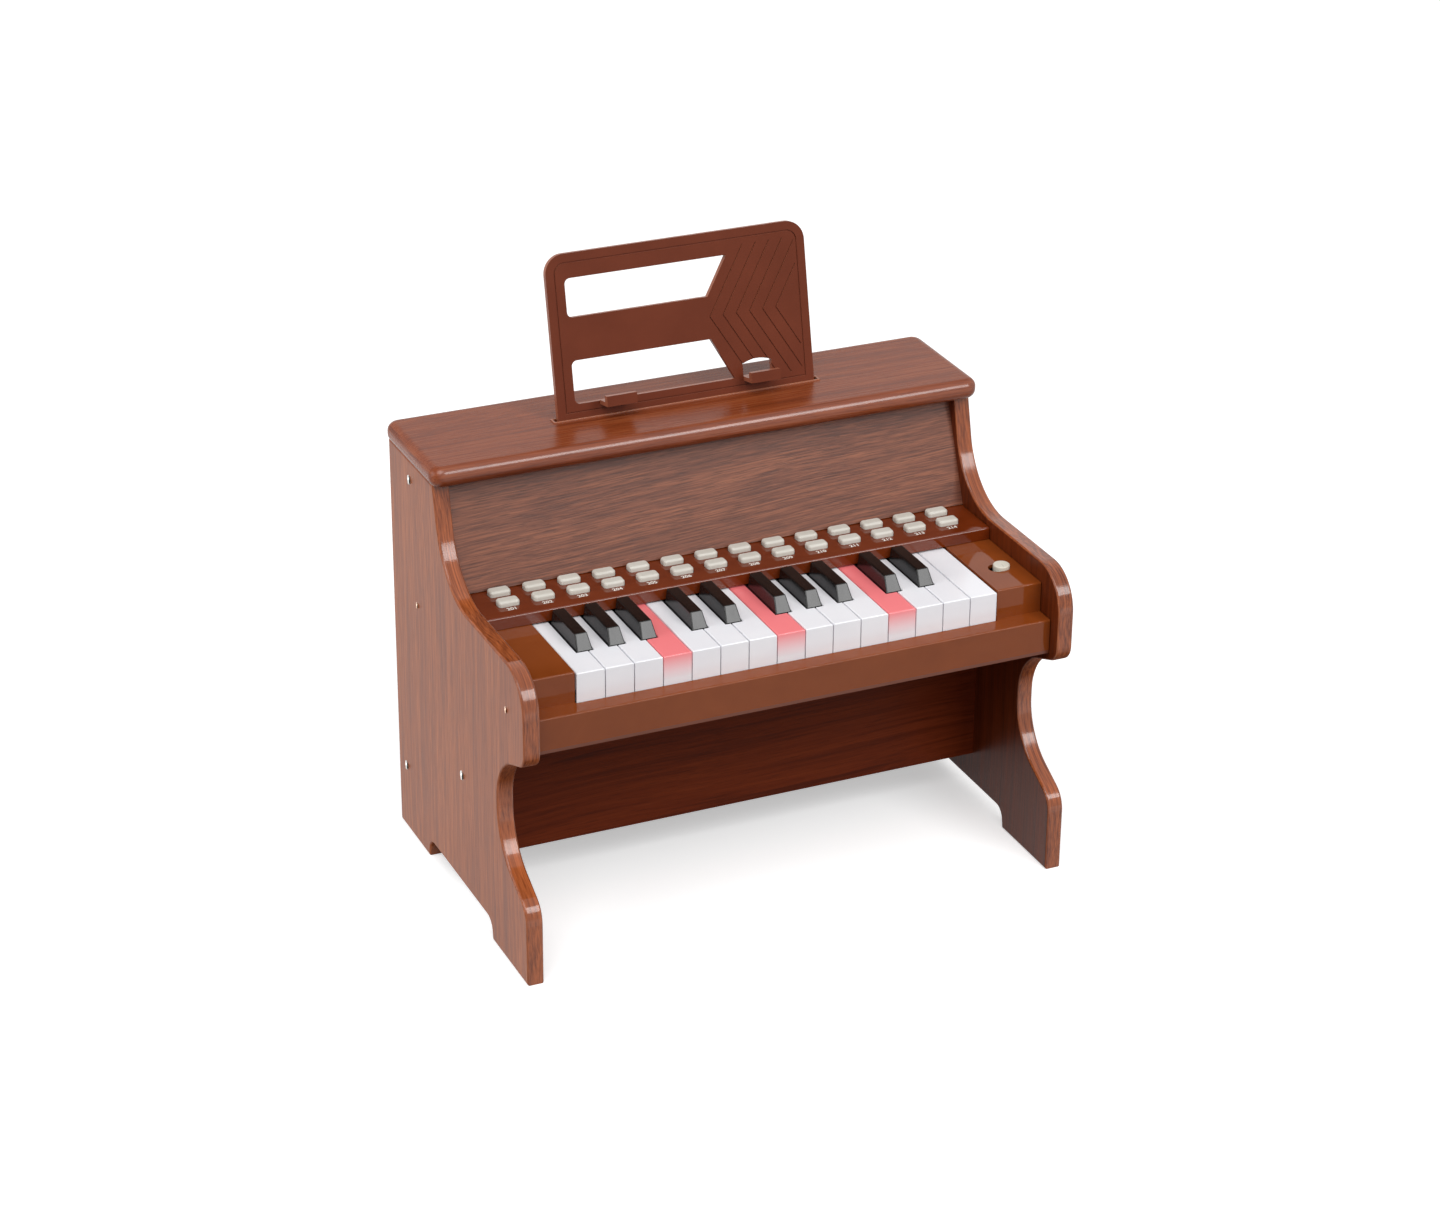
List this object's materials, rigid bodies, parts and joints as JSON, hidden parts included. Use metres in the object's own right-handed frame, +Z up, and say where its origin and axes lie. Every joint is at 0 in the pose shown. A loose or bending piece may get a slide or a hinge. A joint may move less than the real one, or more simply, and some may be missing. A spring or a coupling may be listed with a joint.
{
  "type": "toy piano",
  "caption": "Upright toy electronic piano with a wood-grain cabinet, hinged piano keys, rubber function buttons, a sliding power switch and a lift-out leaning music stand.",
  "frame": {"origin": "middle of the cabinet's footprint, on the floor", "axes": "+Z up, +Y from the keys to the back of the cabinet, +X to the player's right"},
  "size_m": [0.416, 0.254, 0.432],
  "materials": {
    "cabinet_board": "printed wood-grain foil on fibreboard, satin",
    "brown_plastic": "satin moulded plastic",
    "deck_plastic": "glossy moulded plastic",
    "white_key_plastic": "satin gloss",
    "black_key_plastic": "gloss",
    "button_rubber": "matt silicone",
    "cream_plastic": "satin",
    "circuit_board": "lacquered circuit board",
    "contact_rubber": "matt",
    "steel": "zinc plated",
    "brown_screw": "brown coated",
    "cell_can": "plain wrapped can",
    "speaker_metal": "plain"
  },
  "bodies": {
    "cabinet": {"left_side_panel": "cabinet_board", "right_side_panel": "cabinet_board", "top_board": "cabinet_board", "upper_front_panel": "cabinet_board", "kick_board": "cabinet_board", "back_panel": "cabinet_board", "top_rail": "cabinet_board", "control_panel": "deck_plastic", "case_top": "brown_plastic", "case_bottom": "brown_plastic", "key_pivot_rod": "steel", "contact_strip": "contact_rubber", "key_board": "circuit_board", "main_board": "circuit_board", "speaker": "speaker_metal", "batteries": "cell_can", "cabinet_screws": "steel", "case_screws": "brown_screw"},
    "white_key_01": {"white_key_01": "white_key_plastic"},
    "white_key_02": {"white_key_02": "white_key_plastic"},
    "white_key_03": {"white_key_03": "white_key_plastic"},
    "white_key_04": {"white_key_04": "white_key_plastic"},
    "white_key_05": {"white_key_05": "white_key_plastic"},
    "white_key_06": {"white_key_06": "white_key_plastic"},
    "white_key_07": {"white_key_07": "white_key_plastic"},
    "white_key_08": {"white_key_08": "white_key_plastic"},
    "white_key_09": {"white_key_09": "white_key_plastic"},
    "white_key_10": {"white_key_10": "white_key_plastic"},
    "white_key_11": {"white_key_11": "white_key_plastic"},
    "white_key_12": {"white_key_12": "white_key_plastic"},
    "white_key_13": {"white_key_13": "white_key_plastic"},
    "white_key_14": {"white_key_14": "white_key_plastic"},
    "white_key_15": {"white_key_15": "white_key_plastic"},
    "black_key_01": {"black_key_01": "black_key_plastic"},
    "black_key_02": {"black_key_02": "black_key_plastic"},
    "black_key_03": {"black_key_03": "black_key_plastic"},
    "black_key_04": {"black_key_04": "black_key_plastic"},
    "black_key_05": {"black_key_05": "black_key_plastic"},
    "black_key_06": {"black_key_06": "black_key_plastic"},
    "black_key_07": {"black_key_07": "black_key_plastic"},
    "black_key_08": {"black_key_08": "black_key_plastic"},
    "black_key_09": {"black_key_09": "black_key_plastic"},
    "black_key_10": {"black_key_10": "black_key_plastic"},
    "button_pair_01": {"button_pair_01": "button_rubber"},
    "button_pair_02": {"button_pair_02": "button_rubber"},
    "button_pair_03": {"button_pair_03": "button_rubber"},
    "button_pair_04": {"button_pair_04": "button_rubber"},
    "button_pair_05": {"button_pair_05": "button_rubber"},
    "button_pair_06": {"button_pair_06": "button_rubber"},
    "button_pair_07": {"button_pair_07": "button_rubber"},
    "button_pair_08": {"button_pair_08": "button_rubber"},
    "button_pair_09": {"button_pair_09": "button_rubber"},
    "button_pair_10": {"button_pair_10": "button_rubber"},
    "button_pair_11": {"button_pair_11": "button_rubber"},
    "button_pair_12": {"button_pair_12": "button_rubber"},
    "button_pair_13": {"button_pair_13": "button_rubber"},
    "button_pair_14": {"button_pair_14": "button_rubber"},
    "music_stand": {"music_stand": "brown_plastic"},
    "power_switch_knob": {"power_switch_knob": "cream_plastic"},
    "battery_door": {"battery_door": "brown_plastic"}
  },
  "joints": [
    {"name": "music_stand_lift", "type": "slide", "parent": "cabinet", "child": "music_stand", "axis": [0, 0.2079, 0.9781], "range_m": [0, 0.03]},
    {"name": "power_switch_slide", "type": "slide", "parent": "cabinet", "child": "power_switch_knob", "axis": [1, 0, 0], "range_m": [-0.0035, 0]},
    {"name": "battery_door_pull", "type": "slide", "parent": "cabinet", "child": "battery_door", "axis": [0, 0, -1], "range_m": [0, 0.02]},
    {"name": "white_key_01_press", "type": "hinge", "parent": "cabinet", "child": "white_key_01", "pos_m": [-0.147, 0.023, 0.2095], "axis": [1, 0, 0], "range_deg": [0, 1.9], "stiffness_Nm_per_rad": 1.35, "springref_deg": -2.12},
    {"name": "white_key_02_press", "type": "hinge", "parent": "cabinet", "child": "white_key_02", "pos_m": [-0.126, 0.023, 0.2095], "axis": [1, 0, 0], "range_deg": [0, 1.9], "stiffness_Nm_per_rad": 1.35, "springref_deg": -2.12},
    {"name": "white_key_03_press", "type": "hinge", "parent": "cabinet", "child": "white_key_03", "pos_m": [-0.105, 0.023, 0.2095], "axis": [1, 0, 0], "range_deg": [0, 1.9], "stiffness_Nm_per_rad": 1.35, "springref_deg": -2.12},
    {"name": "white_key_04_press", "type": "hinge", "parent": "cabinet", "child": "white_key_04", "pos_m": [-0.084, 0.023, 0.2095], "axis": [1, 0, 0], "range_deg": [0, 1.9], "stiffness_Nm_per_rad": 1.35, "springref_deg": -2.12},
    {"name": "white_key_05_press", "type": "hinge", "parent": "cabinet", "child": "white_key_05", "pos_m": [-0.063, 0.023, 0.2095], "axis": [1, 0, 0], "range_deg": [0, 1.9], "stiffness_Nm_per_rad": 1.35, "springref_deg": -2.12},
    {"name": "white_key_06_press", "type": "hinge", "parent": "cabinet", "child": "white_key_06", "pos_m": [-0.042, 0.023, 0.2095], "axis": [1, 0, 0], "range_deg": [0, 1.9], "stiffness_Nm_per_rad": 1.35, "springref_deg": -2.12},
    {"name": "white_key_07_press", "type": "hinge", "parent": "cabinet", "child": "white_key_07", "pos_m": [-0.021, 0.023, 0.2095], "axis": [1, 0, 0], "range_deg": [0, 1.9], "stiffness_Nm_per_rad": 1.35, "springref_deg": -2.12},
    {"name": "white_key_08_press", "type": "hinge", "parent": "cabinet", "child": "white_key_08", "pos_m": [0, 0.023, 0.2095], "axis": [1, 0, 0], "range_deg": [0, 1.9], "stiffness_Nm_per_rad": 1.35, "springref_deg": -2.12},
    {"name": "white_key_09_press", "type": "hinge", "parent": "cabinet", "child": "white_key_09", "pos_m": [0.021, 0.023, 0.2095], "axis": [1, 0, 0], "range_deg": [0, 1.9], "stiffness_Nm_per_rad": 1.35, "springref_deg": -2.12},
    {"name": "white_key_10_press", "type": "hinge", "parent": "cabinet", "child": "white_key_10", "pos_m": [0.042, 0.023, 0.2095], "axis": [1, 0, 0], "range_deg": [0, 1.9], "stiffness_Nm_per_rad": 1.35, "springref_deg": -2.12},
    {"name": "white_key_11_press", "type": "hinge", "parent": "cabinet", "child": "white_key_11", "pos_m": [0.063, 0.023, 0.2095], "axis": [1, 0, 0], "range_deg": [0, 1.9], "stiffness_Nm_per_rad": 1.35, "springref_deg": -2.12},
    {"name": "white_key_12_press", "type": "hinge", "parent": "cabinet", "child": "white_key_12", "pos_m": [0.084, 0.023, 0.2095], "axis": [1, 0, 0], "range_deg": [0, 1.9], "stiffness_Nm_per_rad": 1.35, "springref_deg": -2.12},
    {"name": "white_key_13_press", "type": "hinge", "parent": "cabinet", "child": "white_key_13", "pos_m": [0.105, 0.023, 0.2095], "axis": [1, 0, 0], "range_deg": [0, 1.9], "stiffness_Nm_per_rad": 1.35, "springref_deg": -2.12},
    {"name": "white_key_14_press", "type": "hinge", "parent": "cabinet", "child": "white_key_14", "pos_m": [0.126, 0.023, 0.2095], "axis": [1, 0, 0], "range_deg": [0, 1.9], "stiffness_Nm_per_rad": 1.35, "springref_deg": -2.12},
    {"name": "white_key_15_press", "type": "hinge", "parent": "cabinet", "child": "white_key_15", "pos_m": [0.147, 0.023, 0.2095], "axis": [1, 0, 0], "range_deg": [0, 1.9], "stiffness_Nm_per_rad": 1.35, "springref_deg": -2.12},
    {"name": "black_key_01_press", "type": "hinge", "parent": "cabinet", "child": "black_key_01", "pos_m": [-0.13902, 0.023, 0.2095], "axis": [1, 0, 0], "range_deg": [0, 1.9], "stiffness_Nm_per_rad": 1.35, "springref_deg": -2.12},
    {"name": "black_key_02_press", "type": "hinge", "parent": "cabinet", "child": "black_key_02", "pos_m": [-0.1155, 0.023, 0.2095], "axis": [1, 0, 0], "range_deg": [0, 1.9], "stiffness_Nm_per_rad": 1.35, "springref_deg": -2.12},
    {"name": "black_key_03_press", "type": "hinge", "parent": "cabinet", "child": "black_key_03", "pos_m": [-0.09198, 0.023, 0.2095], "axis": [1, 0, 0], "range_deg": [0, 1.9], "stiffness_Nm_per_rad": 1.35, "springref_deg": -2.12},
    {"name": "black_key_04_press", "type": "hinge", "parent": "cabinet", "child": "black_key_04", "pos_m": [-0.0546, 0.023, 0.2095], "axis": [1, 0, 0], "range_deg": [0, 1.9], "stiffness_Nm_per_rad": 1.35, "springref_deg": -2.12},
    {"name": "black_key_05_press", "type": "hinge", "parent": "cabinet", "child": "black_key_05", "pos_m": [-0.0294, 0.023, 0.2095], "axis": [1, 0, 0], "range_deg": [0, 1.9], "stiffness_Nm_per_rad": 1.35, "springref_deg": -2.12},
    {"name": "black_key_06_press", "type": "hinge", "parent": "cabinet", "child": "black_key_06", "pos_m": [0.00798, 0.023, 0.2095], "axis": [1, 0, 0], "range_deg": [0, 1.9], "stiffness_Nm_per_rad": 1.35, "springref_deg": -2.12},
    {"name": "black_key_07_press", "type": "hinge", "parent": "cabinet", "child": "black_key_07", "pos_m": [0.0315, 0.023, 0.2095], "axis": [1, 0, 0], "range_deg": [0, 1.9], "stiffness_Nm_per_rad": 1.35, "springref_deg": -2.12},
    {"name": "black_key_08_press", "type": "hinge", "parent": "cabinet", "child": "black_key_08", "pos_m": [0.05502, 0.023, 0.2095], "axis": [1, 0, 0], "range_deg": [0, 1.9], "stiffness_Nm_per_rad": 1.35, "springref_deg": -2.12},
    {"name": "black_key_09_press", "type": "hinge", "parent": "cabinet", "child": "black_key_09", "pos_m": [0.0924, 0.023, 0.2095], "axis": [1, 0, 0], "range_deg": [0, 1.9], "stiffness_Nm_per_rad": 1.35, "springref_deg": -2.12},
    {"name": "black_key_10_press", "type": "hinge", "parent": "cabinet", "child": "black_key_10", "pos_m": [0.1176, 0.023, 0.2095], "axis": [1, 0, 0], "range_deg": [0, 1.9], "stiffness_Nm_per_rad": 1.35, "springref_deg": -2.12},
    {"name": "button_pair_01_press", "type": "slide", "parent": "cabinet", "child": "button_pair_01", "axis": [0, 0, -1], "range_m": [0, 0.0012], "stiffness_N_per_m": 400, "springref_m": -0.0015},
    {"name": "button_pair_02_press", "type": "slide", "parent": "cabinet", "child": "button_pair_02", "axis": [0, 0, -1], "range_m": [0, 0.0012], "stiffness_N_per_m": 400, "springref_m": -0.0015},
    {"name": "button_pair_03_press", "type": "slide", "parent": "cabinet", "child": "button_pair_03", "axis": [0, 0, -1], "range_m": [0, 0.0012], "stiffness_N_per_m": 400, "springref_m": -0.0015},
    {"name": "button_pair_04_press", "type": "slide", "parent": "cabinet", "child": "button_pair_04", "axis": [0, 0, -1], "range_m": [0, 0.0012], "stiffness_N_per_m": 400, "springref_m": -0.0015},
    {"name": "button_pair_05_press", "type": "slide", "parent": "cabinet", "child": "button_pair_05", "axis": [0, 0, -1], "range_m": [0, 0.0012], "stiffness_N_per_m": 400, "springref_m": -0.0015},
    {"name": "button_pair_06_press", "type": "slide", "parent": "cabinet", "child": "button_pair_06", "axis": [0, 0, -1], "range_m": [0, 0.0012], "stiffness_N_per_m": 400, "springref_m": -0.0015},
    {"name": "button_pair_07_press", "type": "slide", "parent": "cabinet", "child": "button_pair_07", "axis": [0, 0, -1], "range_m": [0, 0.0012], "stiffness_N_per_m": 400, "springref_m": -0.0015},
    {"name": "button_pair_08_press", "type": "slide", "parent": "cabinet", "child": "button_pair_08", "axis": [0, 0, -1], "range_m": [0, 0.0012], "stiffness_N_per_m": 400, "springref_m": -0.0015},
    {"name": "button_pair_09_press", "type": "slide", "parent": "cabinet", "child": "button_pair_09", "axis": [0, 0, -1], "range_m": [0, 0.0012], "stiffness_N_per_m": 400, "springref_m": -0.0015},
    {"name": "button_pair_10_press", "type": "slide", "parent": "cabinet", "child": "button_pair_10", "axis": [0, 0, -1], "range_m": [0, 0.0012], "stiffness_N_per_m": 400, "springref_m": -0.0015},
    {"name": "button_pair_11_press", "type": "slide", "parent": "cabinet", "child": "button_pair_11", "axis": [0, 0, -1], "range_m": [0, 0.0012], "stiffness_N_per_m": 400, "springref_m": -0.0015},
    {"name": "button_pair_12_press", "type": "slide", "parent": "cabinet", "child": "button_pair_12", "axis": [0, 0, -1], "range_m": [0, 0.0012], "stiffness_N_per_m": 400, "springref_m": -0.0015},
    {"name": "button_pair_13_press", "type": "slide", "parent": "cabinet", "child": "button_pair_13", "axis": [0, 0, -1], "range_m": [0, 0.0012], "stiffness_N_per_m": 400, "springref_m": -0.0015},
    {"name": "button_pair_14_press", "type": "slide", "parent": "cabinet", "child": "button_pair_14", "axis": [0, 0, -1], "range_m": [0, 0.0012], "stiffness_N_per_m": 400, "springref_m": -0.0015}
  ]
}
